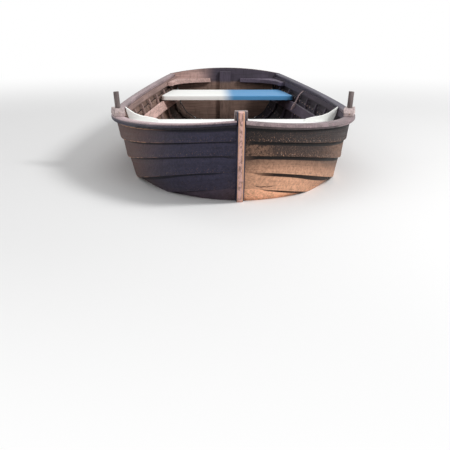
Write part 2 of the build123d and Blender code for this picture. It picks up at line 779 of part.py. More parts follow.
# Breasthook between the inwales, a little under the rail
HOOK_GAP = 3.3 * LOOSE
with BuildPart() as breasthook:
    for z in (HOOK_TOP_Z, HOOK_TOP_Z - HOOK_THICK):
        front = stem_y(z) + (STEM_BACK + FIT + APRON_DEPTH + LOOSE) / cos(radians(STEM_RAKE))
        aft = front + HOOK_LENGTH
        ys = [front + (aft - front) * i / 3 for i in range(4)]
        side = [(hull_x(y, z) - HOOK_GAP, y) for y in ys]
        outline = side + [(-x, y) for x, y in reversed(side)]
        with BuildSketch(Plane.XY.offset(z)):
            with BuildLine():
                Polyline(*outline)
                Line(outline[-1], outline[0])
            make_face()
    loft(ruled=True)
keep(breasthook, "breasthook")

# Bottom boards laid on the ribs
for name, x_mid in (
    ("bottom_board_middle", 0.0),
    ("bottom_board_port", BOARD_PITCH),
    ("bottom_board_starboard", -BOARD_PITCH),
):
    with BuildPart() as board:
        for i in range(5):
            y = BOARD_Y[0] + (BOARD_Y[1] - BOARD_Y[0]) * i / 4
            near = x_mid - BOARD_WIDTH / 2
            far = x_mid + BOARD_WIDTH / 2
            level = max(seat_z(y, abs(near)), seat_z(y, abs(far))) + RIB_THICK + 3 * LOOSE
            with BuildSketch(Plane(origin=(0, y, 0), x_dir=(1, 0, 0), z_dir=(0, -1, 0))):
                with Locations((x_mid, level + BOARD_THICK / 2)):
                    Rectangle(BOARD_WIDTH, BOARD_THICK)
        loft()
    keep(board, name)


def sheer_share(y):
    """Station share at which the sheer passes y."""
    low = 0.0
    high = 1.0
    for _ in range(30):
        s = (low + high) / 2
        if edge(STRAKES, s).Y < y:
            low = s
        else:
            high = s
    return low


# Thole blocks on the rails, each with a bore for the shank of its pin
tholes_at = sheer_share(THOLE_Y)
at, out, up, run = sheer_frame(tholes_at)
set_out = RUB_WIDTH + CAP_OVERHANG - cap_width(tholes_at) / 2 - BLOCK_SET_IN
block_foot = at + out * set_out + up * (CAP_THICK + LOOSE + BLOCK_SEAT)
pin_axis = (up * cos(radians(PIN_LEAN)) + out * sin(radians(PIN_LEAN))).normalized()
pin_foot = block_foot + up * BLOCK_HEIGHT
block_plane = Plane(origin=block_foot - out * (BLOCK_WIDTH / 2), x_dir=run, z_dir=out)
upward = 1 if block_plane.y_dir.Z > 0 else -1
with BuildPart() as block_port:
    with BuildSketch(block_plane):
        with BuildLine():
            half = BLOCK_LENGTH / 2
            shoulder = upward * BLOCK_SHOULDER
            head = upward * BLOCK_HEIGHT
            Polyline((-half, 0), (half, 0), (half, shoulder), (half - BLOCK_SLANT, head),
                     (BLOCK_SLANT - half, head), (-half, shoulder), close=True)
        make_face()
    extrude(amount=BLOCK_WIDTH)
    with BuildSketch(Plane(origin=pin_foot + pin_axis * SHANK_D, x_dir=run, z_dir=pin_axis)):
        Circle(SHANK_D / 2 + FIT)
    extrude(amount=-(SHANK_LENGTH + SHANK_D + LOOSE), mode=Mode.SUBTRACT)
keep(block_port, "thole_block_port")
with BuildPart() as block_starboard:
    mirror(block_port.part, about=Plane.YZ)
keep(block_starboard, "thole_block_starboard")

# Thole pins, shouldered on the blocks
PIN_LIFT = FIT + PIN_D / 2 * tan(radians(PIN_LEAN))
pin_plane = Plane(origin=pin_foot + pin_axis * PIN_LIFT, x_dir=run, z_dir=pin_axis)
with BuildPart() as pin_port:
    with BuildSketch(pin_plane):
        Circle(PIN_D / 2)
    extrude(amount=PIN_ABOVE)
    with BuildSketch(pin_plane):
        Circle(SHANK_D / 2)
    extrude(amount=-SHANK_LENGTH)
keep(pin_port, "thole_pin_port")
with BuildPart() as pin_starboard:
    mirror(pin_port.part, about=Plane.YZ)
keep(pin_starboard, "thole_pin_starboard")

# Rope tail from the port inwale down past the riser, with its whipped end
rope_start = inwale_face(sheer_share(ROPE_Y), ROPE_START_Z)
route = [Vector(rope_start.X - FIT, ROPE_Y, ROPE_START_Z)] + [Vector(x, ROPE_Y, z) for x, z in ROPE_ROUTE]
runs = [after - before for before, after in zip(route, route[1:])]
radii = []
for before, after in zip(runs, runs[1:]):
    turn = radians(before.get_angle(after))
    radii.append(0.45 * min(before.length, after.length) / tan(turn / 2))
print("rope radii", [round(radius, 1) for radius in radii])
with BuildPart() as rope_tail:
    with BuildLine() as rope_line:
        FilletPolyline(*route, radius=radii)
    with BuildSketch(Plane(origin=route[0], z_dir=runs[0].normalized())):
        Circle(ROPE_D / 2)
    sweep(path=rope_line.line)
keep(rope_tail, "rope_tail")
with BuildPart() as rope_end:
    with BuildSketch(Plane(origin=route[-1], z_dir=runs[-1].normalized())):
        Circle(ROPE_END_D / 2)
    extrude(amount=ROPE_END_LENGTH, taper=4)
keep(rope_end, "rope_end")
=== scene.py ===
"""Rowing boat: finishes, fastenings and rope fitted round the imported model."""

from math import cos, sin, tau

import bmesh
import bpy
from bpy.props import FloatProperty, FloatVectorProperty, IntProperty, PointerProperty
from mathutils import Matrix, Vector
from mathutils.bvhtree import BVHTree


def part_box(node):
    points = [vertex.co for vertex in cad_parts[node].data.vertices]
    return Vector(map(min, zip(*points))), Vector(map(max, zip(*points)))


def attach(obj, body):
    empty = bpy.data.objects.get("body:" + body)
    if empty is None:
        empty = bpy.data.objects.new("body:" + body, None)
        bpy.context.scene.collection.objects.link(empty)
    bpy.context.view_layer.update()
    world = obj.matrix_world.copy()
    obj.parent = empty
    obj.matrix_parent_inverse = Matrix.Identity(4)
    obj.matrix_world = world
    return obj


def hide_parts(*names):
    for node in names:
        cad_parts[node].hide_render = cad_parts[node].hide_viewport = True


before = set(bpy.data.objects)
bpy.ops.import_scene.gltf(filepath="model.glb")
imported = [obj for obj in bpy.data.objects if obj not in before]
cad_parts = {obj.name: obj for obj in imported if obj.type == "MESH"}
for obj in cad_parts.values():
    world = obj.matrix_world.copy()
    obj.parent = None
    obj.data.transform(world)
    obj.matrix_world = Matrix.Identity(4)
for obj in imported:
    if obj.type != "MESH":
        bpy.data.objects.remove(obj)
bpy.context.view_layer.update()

bl_info = {
    "name": "Rowing Boat",
    "version": (1, 0, 0),
    "blender": (4, 5, 0),
    "location": "3D View > Sidebar > Boat",
    "description": "Dresses a clinker rowing boat with its finishes, fastenings and rope",
    "category": "Object",
}

BODY = "root"
SIDES = ("port", "starboard")
STRAKES = 7
RIBS = 11

# Lengths in metres: planks, laps, and how far a cut looks round its corners
PLANK = 0.018
LAP = 0.022
CORNER_REACH = 0.008

# Rounding of sharp edges in metres, and the angle in radians past which an edge is sharp
PLANK_EASE = 0.0012
RAIL_EASE = 0.0025
TIMBER_EASE = 0.003
SHARP_ANGLE = 0.6

# Cuts across a long piece, how much closer they stand at the bow, and the least share of its
# neighbour's width that a cut keeps before the piece counts as tapering off
CUTS = 44
CUT_CLOSENESS = 1.5
LEAST_WIDTH = 0.86

# Line inside the boat that its inner faces look at: its height and its forward end in metres
INSIDE_HEIGHT = 0.30
INSIDE_START = -1.2

# Height in metres on the transom and the stern post where the painted sunlight and shade on the timber start
SUNLIT_HEIGHT = 0.28

# Place in metres under the aft thwart, behind which the planks inside get painted shade
THWART_SHADE_START = 1.3

# Heights of a lap nail's head and of a rove as shares of their radius
HEAD_HEIGHT = 0.35
ROVE_HEIGHT = 0.4

# Nails of a thole block: share of its width and height in metres; then their radius and height as
# shares of a lap nail's radius
STUD_PLACES = ((0.36, 0.022), (0.66, 0.030))
STUD_RADIUS = 1.4
STUD_HEIGHT = 0.5

# Ray casts to the corner of the transom: height of their start, first angle and span in radians
CORNER_HEIGHT = 0.20
CORNER_START = -0.3
CORNER_SPAN = 1.7

# Camera place in metres and its angles in radians
CAMERA_AT = (-0.241, -9.075, 1.362)
CAMERA_YAW = -0.022
CAMERA_PITCH = -0.201
CAMERA_ROLL = 0.002

# Strake, share of bleached timber at its low and top edge to port, the same to starboard,
# and the share of pale specks to port; the large port shares are painted sunlight and water reflection over
# bleached timber
BLEACH_AND_SUNLIGHT = (
    (7, (0.01, 0.00), (0.02, 0.02), 0.5),
    (6, (0.04, 0.01), (0.02, 0.02), 0.6),
    (5, (0.58, 0.14), (0.02, 0.02), 0.8),
    (4, (0.80, 0.74), (0.03, 0.02), 0.8),
    (3, (1.00, 0.95), (0.09, 0.06), 0.8),
    (2, (0.70, 0.90), (0.20, 0.08), 0.8),
    (1, (0.50, 0.60), (0.30, 0.20), 0.8),
)
STARBOARD_SPECKS = 0.18

# Points that the rope's tail follows, in metres
ROPE_ROUTE = (
    (0.561, 1.020, 0.316),
    (0.543, 1.020, 0.304),
    (0.528, 1.020, 0.284),
    (0.518, 1.020, 0.262),
    (0.506, 1.020, 0.240),
)

# A strand's radius as a share of the rope's diameter; then, for the frayed end, the turns that its
# yarns make round it, the least reach of a yarn as a share of the full one, and a yarn's places:
# share of the end's length and share of the yarn's reach
STRAND_SHARE = 0.27
YARN_TURNS = 1.9
YARN_REACH = 0.45
YARN_SPREAD = ((-0.04, 0.30), (0.12, 0.42), (0.40, 0.80), (0.72, 0.86))

# Whipping: number of its points, and in metres the step between them, its start behind the rope's
# end, the length of one turn and the radius of its twine
WHIPPING_POINTS = 72
WHIPPING_STEP = 0.0002
WHIPPING_BACK = 0.004
WHIPPING_LAY = 0.0018
TWINE = 0.0009

# Lamp, place in metres, power in watts, size in metres
LAMPS = (
    ("Key", (6.5, -3.6, 6.2), 650, 2.4),
    ("Fill", (-6.0, -5.0, 4.5), 110, 5.0),
    ("Low", (4.5, -7.0, 1.2), 60, 2.5),
    ("Back", (0.0, 6.0, 6.0), 130, 5.0),
)

# Light of the world, and the distances in metres over which the floor turns white and to which
# the camera sees
WORLD_LIGHT = 0.42
FLOOR_FADE = (2.6, 6.0)
CAMERA_REACH = 200

# Rays that find the waterline: reach in metres, and how far they are drawn together for a long hull
HULL_REACH = 3.0
RAY_NARROWING = 0.35

# Patterns of a timber's grain, patches and streaks, as stretches along x, y and z, or along the
# piece, up it and down it where its finish is grained
PLANK_GRAIN = ((2.5, 130.0, 130.0), (2.0, 20.0, 20.0), (22.0, 3.0, 3.0))
RAIL_GRAIN = ((3.0, 120.0, 120.0), (3.0, 20.0, 20.0), (16.0, 4.0, 4.0))
KEEL_GRAIN = ((120.0, 3.0, 120.0), (16.0, 2.0, 16.0), (20.0, 20.0, 4.0))
BOARD_GRAIN = ((130.0, 4.0, 130.0), (18.0, 3.0, 18.0), (40.0, 6.0, 40.0))
RIB_GRAIN = ((60.0, 90.0, 60.0), (9.0, 9.0, 9.0), (30.0, 30.0, 12.0))
TRANSOM_GRAIN = ((7.0, 7.0, 130.0), (4.0, 4.0, 16.0), (55.0, 55.0, 2.5))
OUTSIDE_GRAIN = ((7.0, 7.0, 130.0), (4.0, 4.0, 16.0), (3.0, 3.0, 40.0))
STERN_POST_GRAIN = ((130.0, 130.0, 6.0), (14.0, 14.0, 3.0), (50.0, 50.0, 5.0))
STEM_HEAD_GRAIN = ((140.0, 140.0, 7.0), (16.0, 16.0, 4.0), (60.0, 60.0, 8.0))
BLOCK_GRAIN = ((140.0, 8.0, 140.0), (20.0, 6.0, 20.0), (40.0, 40.0, 10.0))
PIN_GRAIN = ((140.0, 140.0, 8.0), (20.0, 20.0, 6.0), (60.0, 60.0, 8.0))


def linear(red, green, blue):
    """Scene colour of an sRGB colour given from 0 to 255."""
    spans = [value / 255 for value in (red, green, blue)]
    return tuple(((c + 0.055) / 1.055) ** 2.4 if c > 0.04 else c / 12.92 for c in spans)


def color_prop(name, description, red, green, blue):
    """Colour setting with its default given from 0 to 255."""
    return FloatVectorProperty(
        name=name, description=description, subtype="COLOR", default=linear(red, green, blue), min=0, max=1
    )


def length_prop(name, description, default, least=0.0):
    """Length setting in metres."""
    return FloatProperty(name=name, description=description, default=default, min=least, unit="LENGTH")


class FinishSettings(bpy.types.PropertyGroup):
    """Colours of the boat's finishes, some with painted light and shade"""

    tar: color_prop("Tar", "Old tar on the port planks", 29, 24, 25)
    # Tar in shade: tar with a painted cool shade, for the starboard planks and the stem
    tar_in_shade: color_prop("Slate tar", "Cooler tar on the starboard planks", 41, 45, 67)
    # Umber: the starboard tar aft, browner by painted light; also the tar outside the transom
    umber: color_prop("Umber", "Tar gone brown towards the stern", 86, 64, 62)
    # Bleached: bare timber at worn edges and specks, and the painted sunlight and water reflection on the
    # lower port strakes
    bleached: color_prop("Bleached", "Planks that the sun has bleached", 222, 170, 138)
    rail: color_prop("Rail", "Weathered rails", 134, 117, 119)
    # Rail in shade: painted shade on the port aft rail and on the starboard rail's faces
    rail_in_shade: color_prop("Dark rail", "Rails where the tar is left", 72, 67, 82)
    inner: color_prop("Inside", "Timber inside the boat", 128, 103, 92)
    # Sunlit inside: painted sunlight on the starboard timber inside the boat
    sunlit_inside: color_prop("Sunny timber", "Inside timber that the sun has bleached", 190, 158, 150)
    # Shade: painted shade on the port timber inside the boat and on the stern post
    shade: color_prop("Damp timber", "Inside timber that stays damp and dark", 66, 58, 70)
    post: color_prop("Posts", "Head of the stem", 158, 143, 140)
    block: color_prop("Blocks", "Thole blocks and pins", 192, 174, 172)
    paint: color_prop("Paint", "White paint on the seats", 250, 251, 248)
    # Pale blue of the painted shade on the aft thwart; darkened, the dirt in the paint's pores
    shade_and_dirt_blue: color_prop("Old paint", "Pale blue paint under the white", 66, 142, 195)
    copper: color_prop("Nails", "Dull copper of the nail heads", 176, 150, 136)
    nose: color_prop("Stem nose", "Worn nose of the stem", 218, 174, 165)
    rope: color_prop("Rope", "Weathered rope", 214, 192, 194)


class FasteningSettings(bpy.types.PropertyGroup):
    """Sizes of the nails, the roves and the tar bead"""

    spacing: length_prop("Nail spacing", "Distance between lap nails", 0.085, 0.03)
    head: length_prop("Nail head", "Radius of a nail head", 0.0042, 0.001)
    rove: length_prop("Rove", "Radius of a rove inside the planking", 0.006, 0.001)
    inset: length_prop("Inset", "Height of a lap nail over the plank's edge", 0.011)
    bead: length_prop("Tar bead", "Radius of the tar bead inside the transom", 0.004)


class RopeSettings(bpy.types.PropertyGroup):
    """Sizes of the rope's tail and its frayed end"""

    diameter: length_prop("Diameter", "Rope across", 0.009)
    lay: length_prop("Lay", "Length of one turn of a strand", 0.030, 0.001)
    strands: IntProperty(name="Strands", description="Strands in the rope", default=3, min=2)
    yarns: IntProperty(name="Yarns", description="Yarns in the frayed end", default=16, min=3)
    yarn: length_prop("Yarn", "Radius of a yarn", 0.0014)
    end_length: length_prop("End length", "Length of the frayed end", 0.072)
    end_reach: length_prop("End reach", "How far the frayed yarns spread", 0.0115)


class StageSettings(bpy.types.PropertyGroup):
    """Camera and floor"""

    lens: FloatProperty(
        name="Lens", description="Focal length of the camera", default=109.16, min=10, unit="CAMERA"
    )
    floor_radius: length_prop("Floor radius", "Reach of the floor round the boat", 60.0, 10.0)
    floor_color: FloatVectorProperty(
        name="Floor colour", description="Pale floor at the waterline",
        subtype="COLOR", default=(0.8, 0.8, 0.8), min=0, max=1,
    )
    hole_points: IntProperty(
        name="Hole points", description="Points round the hull's opening in the floor", default=480
    )


# Meshes


def new_object(name, mesh):
    """Object at the origin, linked to the scene."""
    made = bpy.data.objects.new(name, mesh)
    bpy.context.scene.collection.objects.link(made)
    return made


def mesh_from(bm, name):
    """Mesh of a finished bmesh, which is freed."""
    mesh = bpy.data.meshes.new(name)
    bm.to_mesh(mesh)
    bm.free()
    return mesh


def packed(names):
    """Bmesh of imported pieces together."""
    bm = bmesh.new()
    for name in names:
        bm.from_mesh(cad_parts[name].data)
    return bm


def ray_tree(names):
    """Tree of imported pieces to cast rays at."""
    bm = packed(names)
    tree = BVHTree.FromBMesh(bm)
    bm.free()
    return tree


def merged_copy(name):
    """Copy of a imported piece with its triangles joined, standing in for it."""
    bm = packed([name])
    bmesh.ops.remove_doubles(bm, verts=bm.verts, dist=1e-5)
    mesh = mesh_from(bm, name.replace("_", " "))
    mesh.shade_smooth()
    mesh.set_sharp_from_angle(angle=SHARP_ANGLE)
    copy = new_object(f"{name}_dressed", mesh)
    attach(copy, BODY)
    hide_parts(name)
    return copy


def eased(piece, width, segments=2):
    """Round a piece's sharp edges a little."""
    bevel = piece.modifiers.new("Eased edges", "BEVEL")
    bevel.width = width
    bevel.segments = segments
    bevel.limit_method = "ANGLE"
    bevel.angle_limit = SHARP_ANGLE


def finish(piece, *materials):
    """Give a piece its materials in place of those it came with."""
    piece.data.materials.clear()
    for material in materials:
        piece.data.materials.append(material)


# Planks and rails, cut across to find their edges


class Cut:
    """Cross cut of a long piece: its low outside corner, the way up it and its width."""

    def __init__(self, points):
        low = min(points, key=lambda p: abs(p.x) + p.z)
        high = max(points, key=lambda p: abs(p.x) + p.z)
        self.up = (high - low).normalized()
        side = 1 if high.x > 0 else -1
        self.out = Vector((self.up.z * side, 0, -self.up.x * side))
        foot = [p for p in points if (p - low).dot(self.up) < CORNER_REACH]
        self.low = max(foot, key=lambda p: p.dot(self.out))
        crown = [p for p in points if (high - p).dot(self.up) < CORNER_REACH]
        self.up = (max(crown, key=lambda p: p.dot(self.out)) - self.low).normalized()
        self.width = max((p - self.low).dot(self.up) for p in points)
        self.along = 0.0


def cross_cuts(name):
    """Cuts across a long piece, closer together at the bow, with the length run so far."""
    near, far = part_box(name)
    cuts = []
    for i in range(CUTS):
        share = ((i + 0.5) / CUTS) ** CUT_CLOSENESS
        y = near[1] + (far[1] - near[1]) * share
        bm = packed([name])
        found = bmesh.ops.bisect_plane(
            bm, geom=bm.verts[:] + bm.edges[:] + bm.faces[:], plane_co=(0, y, 0), plane_no=(0, 1, 0)
        )["geom_cut"]
        points = [v.co.copy() for v in found if isinstance(v, bmesh.types.BMVert)]
        bm.free()
        if len(points) > 2:
            cuts.append(Cut(points))
    middle = len(cuts) // 2
    first = middle
    while first > 0 and cuts[first - 1].width > LEAST_WIDTH * cuts[first].width:
        first -= 1
    last = middle
    while last < len(cuts) - 1 and cuts[last + 1].width > LEAST_WIDTH * cuts[last].width:
        last += 1
    cuts = cuts[first:last + 1]
    for before, after in zip(cuts, cuts[1:]):
        after.along = before.along + (after.low - before.low).length
    return cuts


def between(cuts, wanted, measure):
    """Two cuts on both sides of a measure, and the share of the way from one to the other."""
    i = 0
    while i < len(cuts) - 2 and measure(cuts[i + 1]) < wanted:
        i += 1
    before, after = cuts[i], cuts[i + 1]
    share = (wanted - measure(before)) / (measure(after) - measure(before))
    return before, after, share


def place_on(cuts, y):
    """Low corner, way up, width and length run at a place between or beyond the cuts."""
    before, after, share = between(cuts, y, lambda cut: cut.low.y)
    low = before.low + (after.low - before.low) * share
    held = min(max(share, 0.0), 1.0)
    up = before.up.lerp(after.up, held).normalized()
    width = before.width + (after.width - before.width) * held
    along = before.along + (after.along - before.along) * share
    return low, up, width, along


def add_grain(piece, cuts):
    """Point attribute with the way along, the height from the low edge and the depth from the top edge."""
    mesh = piece.data
    grain = mesh.attributes.new("grain", "FLOAT_VECTOR", "POINT")
    for vert in mesh.vertices:
        low, up, width, along = place_on(cuts, vert.co.y)
        height = (vert.co - low).dot(up)
        grain.data[vert.index].vector = (along, height, width - height)


def inward_faces(mesh):
    """Second material on the faces that look into the boat."""
    for face in mesh.polygons:
        centre = face.center
        axis = Vector((0, max(centre.y, INSIDE_START), INSIDE_HEIGHT))
        face.material_index = 1 if face.normal.dot(centre - axis) < 0 else 0


# Materials


def add(tree, kind, inputs=(), **settings):
    """Node of a kind with its settings, and its inputs as pairs of socket and value or source."""
    made = tree.nodes.new(kind)
    for key, value in settings.items():
        setattr(made, key, value)
    for socket, value in inputs:
        if isinstance(value, bpy.types.NodeSocket):
            tree.links.new(value, made.inputs[socket])
        else:
            made.inputs[socket].default_value = value
    return made


def mix(tree, share, below, above, kind="MIX"):
    """Colour between two colours."""
    node = add(tree, "ShaderNodeMix", data_type="RGBA", blend_type=kind)
    for index, value in ((0, share), (6, below), (7, above)):
        if isinstance(value, bpy.types.NodeSocket):
            tree.links.new(value, node.inputs[index])
        elif index == 0:
            node.inputs[index].default_value = value
        else:
            node.inputs[index].default_value = (*value[:3], 1)
    return node.outputs[2]


def calc(tree, operation, first, second=0.0, clamp=False):
    """One sum on two numbers."""
    inputs = ((0, first), (1, second))
    return add(tree, "ShaderNodeMath", inputs, operation=operation, use_clamp=clamp).outputs[0]


def product(tree, first, *others):
    """Numbers multiplied together."""
    for other in others:
        first = calc(tree, "MULTIPLY", first, other)
    return first


def fade(tree, source, start, end, low=0.0, high=1.0):
    """Smooth change from low to high as the source goes from start to end."""
    node = add(
        tree, "ShaderNodeMapRange",
        (("Value", source), ("From Min", start), ("From Max", end), ("To Min", low), ("To Max", high)),
        interpolation_type="SMOOTHSTEP",
    )
    return node.outputs["Result"]


def noise(tree, way, stretch, detail=4.0, rough=0.55):
    """Cloudy pattern stretched along the axes of a coordinate."""
    mapping = add(tree, "ShaderNodeMapping", (("Vector", way), ("Scale", stretch)))
    node = add(
        tree, "ShaderNodeTexNoise",
        (("Vector", mapping.outputs[0]), ("Scale", 1.0), ("Detail", detail), ("Roughness", rough)),
    )
    return node.outputs["Fac"]


def shaded(color, factor):
    """A colour made darker or lighter by a factor."""
    return tuple(min(c * factor, 1.0) for c in color[:3])


class Finish:
    """A material under construction, with its coordinates."""

    def __init__(self, name, grained=False):
        self.material = bpy.data.materials.new(name)
        self.material.use_nodes = True
        self.tree = self.material.node_tree
        self.shader = self.tree.nodes["Principled BSDF"]
        self.place = add(self.tree, "ShaderNodeTexCoord").outputs["Object"]
        self.way = self.place
        if grained:
            self.way = add(self.tree, "ShaderNodeAttribute", attribute_name="grain").outputs["Vector"]
        parts = add(self.tree, "ShaderNodeSeparateXYZ", ((0, self.way),))
        self.along, self.low, self.high = parts.outputs

    def tone(self, color, factor):
        """A colour or colour socket made darker or lighter by a factor."""
        if isinstance(color, bpy.types.NodeSocket):
            return mix(self.tree, 1.0, color, (factor, factor, factor), "MULTIPLY")
        return shaded(color, factor)

    def wood(self, plain, dark, light, stretch, patch_stretch, patch_share=0.75):
        """Fibres along the grain over broad patches of tone."""
        tree = self.tree
        self.fibre = noise(tree, self.way, stretch, 6.0, 0.6)
        patch = noise(tree, self.way, patch_stretch, 3.0, 0.5)
        tone = mix(tree, fade(tree, self.fibre, 0.32, 0.62), self.tone(plain, dark), plain)
        return mix(tree, fade(tree, patch, 0.48, 0.72, 0.0, patch_share), tone, self.tone(plain, light))

    def close(self, color, roughness, bump, distance, specular=0.5):
        """Join the colour, the roughness range and the bump to the shader."""
        tree = self.tree
        tree.links.new(color, self.shader.inputs["Base Color"])
        rough = fade(tree, self.fibre, 0.3, 0.7, roughness - 0.12, roughness + 0.1)
        tree.links.new(rough, self.shader.inputs["Roughness"])
        self.shader.inputs["Specular IOR Level"].default_value = specular
        raised = add(
            tree, "ShaderNodeBump", (("Height", self.fibre), ("Strength", bump), ("Distance", distance))
        )
        tree.links.new(raised.outputs[0], self.shader.inputs["Normal"])
        return self.material


def tarred(made, base, brown, bleached, shares):
    """Tar made lighter and browner towards the stern by painted light, mixed by a share at each edge with
    bleached timber.
    """
    tree = made.tree
    # Painted light: the tar grows lighter and browner towards the stern
    tar = mix(tree, fade(tree, made.along, 0.35, 1.15), base, brown)
    # On the lower port strakes the bleached share is painted sunlight and water reflection over bleached
    # timber
    return mix(tree, fade(tree, made.low, 0.10, 0.0, shares[1], shares[0]), tar, bleached)


def weathered(made, plain, pale_share):
    """Fibres along a plank, broad streaks and a fine mottle."""
    tree = made.tree
    color = made.wood(plain, 0.62, 1.3, (2.2, 150.0, 150.0), (1.8, 16.0, 16.0), 0.5)
    streaks = noise(tree, made.way, (16.0, 2.2, 2.2), 2.0, 0.5)
    color = mix(tree, fade(tree, streaks, 0.50, 0.72, 0.0, 0.28), color, made.tone(plain, 0.5))
    color = mix(tree, fade(tree, made.mottle, 0.42, 0.68, 0.0, pale_share), color, made.tone(plain, 1.7))
    return mix(tree, fade(tree, made.mottle, 0.46, 0.30, 0.0, 0.5), color, made.tone(plain, 0.45))


def specked(made, color, bleached, share):
    """Pale specks where the tar has flaked, most of them near the lap."""
    tree = made.tree
    specks = noise(tree, made.place, (150.0, 150.0, 150.0), 2.0, 0.5)
    near_lap = fade(tree, made.low, 0.045, 0.0, 0.30, 1.0)
    shown = product(tree, fade(tree, specks, 0.60, 0.67), near_lap, share)
    return mix(tree, shown, color, shaded(bleached, 0.7))


def rubbed_thin(made, color, bleached):
    """Tar rubbed thin beside the stem and again further aft."""
    tree = made.tree
    front = product(tree, fade(tree, made.along, 0.20, 0.06), fade(tree, made.mottle, 0.38, 0.56), 0.4)
    color = mix(tree, front, color, shaded(bleached, 0.40))
    aft = product(tree, fade(tree, made.along, 0.50, 1.10), fade(tree, made.mottle, 0.30, 0.60), 0.5)
    return mix(tree, aft, color, shaded(bleached, 0.45))


def split_grain(made, color, dark):
    """Dark split that climbs across a plank near the stem."""
    tree = made.tree
    ends = product(tree, fade(tree, made.along, 0.02, 0.05), fade(tree, made.along, 0.17, 0.13))
    height = calc(tree, "ADD", made.low, product(tree, made.along, -0.10))
    line = product(tree, fade(tree, height, 0.010, 0.013), fade(tree, height, 0.020, 0.017))
    split = product(tree, ends, line, fade(tree, made.mottle, 0.40, 0.50), 0.85)
    return mix(tree, split, color, dark)


def worn_edge(made, color, bleached, share):
    """Low edge worn to bare timber, more and more towards the stern."""
    tree = made.tree
    edge = fade(tree, made.low, 0.006, 0.001)
    reach = fade(tree, made.along, 0.45, 0.95, 0.03, share)
    worn = product(tree, edge, fade(tree, made.ragged, 0.42, 0.60), reach)
    return mix(tree, worn, color, shaded(bleached, 0.75))


def lap_shadow(made, row, line):
    """Painted shadow under the plank above, which starts further from the stem on the lower planks."""
    tree = made.tree
    top = LAP + line
    start = 0.0 if row > 4 else 0.12
    return product(tree, fade(tree, made.high, top, top - 0.0035), fade(tree, made.along, -0.16, start))


def rail_shadow_and_wear(made, color, bleached, port):
    """Painted shadow under the rail, rubbed pale along its aft part to starboard, and the plank's colour."""
    tree = made.tree
    # Painted shadow under the rail
    shadow_line = fade(tree, made.high, 0.034, 0.022)
    if port:
        return shadow_line, color
    rubbed = product(
        tree, fade(tree, made.high, 0.024, 0.020), fade(tree, made.along, 0.45, 0.85),
        fade(tree, made.ragged, 0.36, 0.50),
    )
    color = mix(tree, rubbed, color, shaded(bleached, 0.7))
    return product(tree, shadow_line, fade(tree, made.along, 0.75, 0.45)), color


def plank_finish(name, colors, port, shares, row, specks):
    """Old tar on a plank, worn through to bleached timber, with painted light along it and a painted shadow
    under what lies above.
    """
    made = Finish(name, grained=True)
    tree = made.tree
    made.mottle = noise(tree, made.place, (60.0, 60.0, 60.0), 4.0, 0.7)
    made.ragged = noise(tree, made.way, (9.0, 60.0, 60.0), 3.0, 0.6)
    # Starboard planks take the tar with painted cool shade
    base = colors.tar if port else colors.tar_in_shade
    brown = shaded(base, 1.25) if port else colors.umber
    plain = tarred(made, base, brown, colors.bleached, shares)
    # Painted reflection of the water lightens the third strake
    if row == 3:
        plain = made.tone(plain, 1.3)
    color = weathered(made, plain, 0.45 if port else 0.3)
    color = specked(made, color, colors.bleached, specks)
    if port and row == 6:
        color = rubbed_thin(made, color, colors.bleached)
    if port and row == 4:
        color = split_grain(made, color, colors.tar)
    color = worn_edge(made, color, colors.bleached, 0.2 if port else 0.85)
    # Painted shadow under the rail and under the plank above, wider and darker to port
    if row == STRAKES:
        shadow_line, color = rail_shadow_and_wear(made, color, colors.bleached, port)
    else:
        shadow_line = lap_shadow(made, row, 0.021 if port else 0.011)
    color = mix(tree, product(tree, shadow_line, 0.96 if port else 0.75), color, shaded(base, 0.12))
    return made.close(color, 0.66, 0.35, 0.0015, 0.2)


def timber_finish(name, base, pattern, grained=False, port_shade=None, upper_lighting=None, shade_from=None):
    """Bare weathered timber with dark streaks, with painted shade to port and aft and painted light and
    shade higher up, where given.
    """
    made = Finish(name, grained)
    tree = made.tree
    across, aft, height = add(tree, "ShaderNodeSeparateXYZ", ((0, made.place),)).outputs
    plain = tuple(base)
    # Painted sunlight and shade above the given height, with painted shade to port
    if upper_lighting is not None:
        side = mix(tree, fade(tree, across, -0.26, -0.06), upper_lighting, port_shade)
        plain = mix(tree, fade(tree, height, SUNLIT_HEIGHT, SUNLIT_HEIGHT + 0.03), plain, side)
    # Painted shade to port
    elif port_shade is not None:
        plain = mix(tree, fade(tree, across, -0.10, 0.10), plain, port_shade)
    # Painted shade aft, under the aft thwart
    if shade_from is not None:
        plain = mix(tree, fade(tree, aft, shade_from, shade_from + 0.2), plain, made.tone(plain, 0.4))
    stretch, patch_stretch, streak_stretch = pattern
    color = made.wood(plain, 0.6, 1.35, stretch, patch_stretch)
    streaks = noise(tree, made.way, streak_stretch, 4.0, 0.6)
    color = mix(tree, fade(tree, streaks, 0.52, 0.72, 0.0, 0.5), color, made.tone(plain, 0.4))
    return made.close(color, 0.70, 0.35, 0.0015, 0.3)


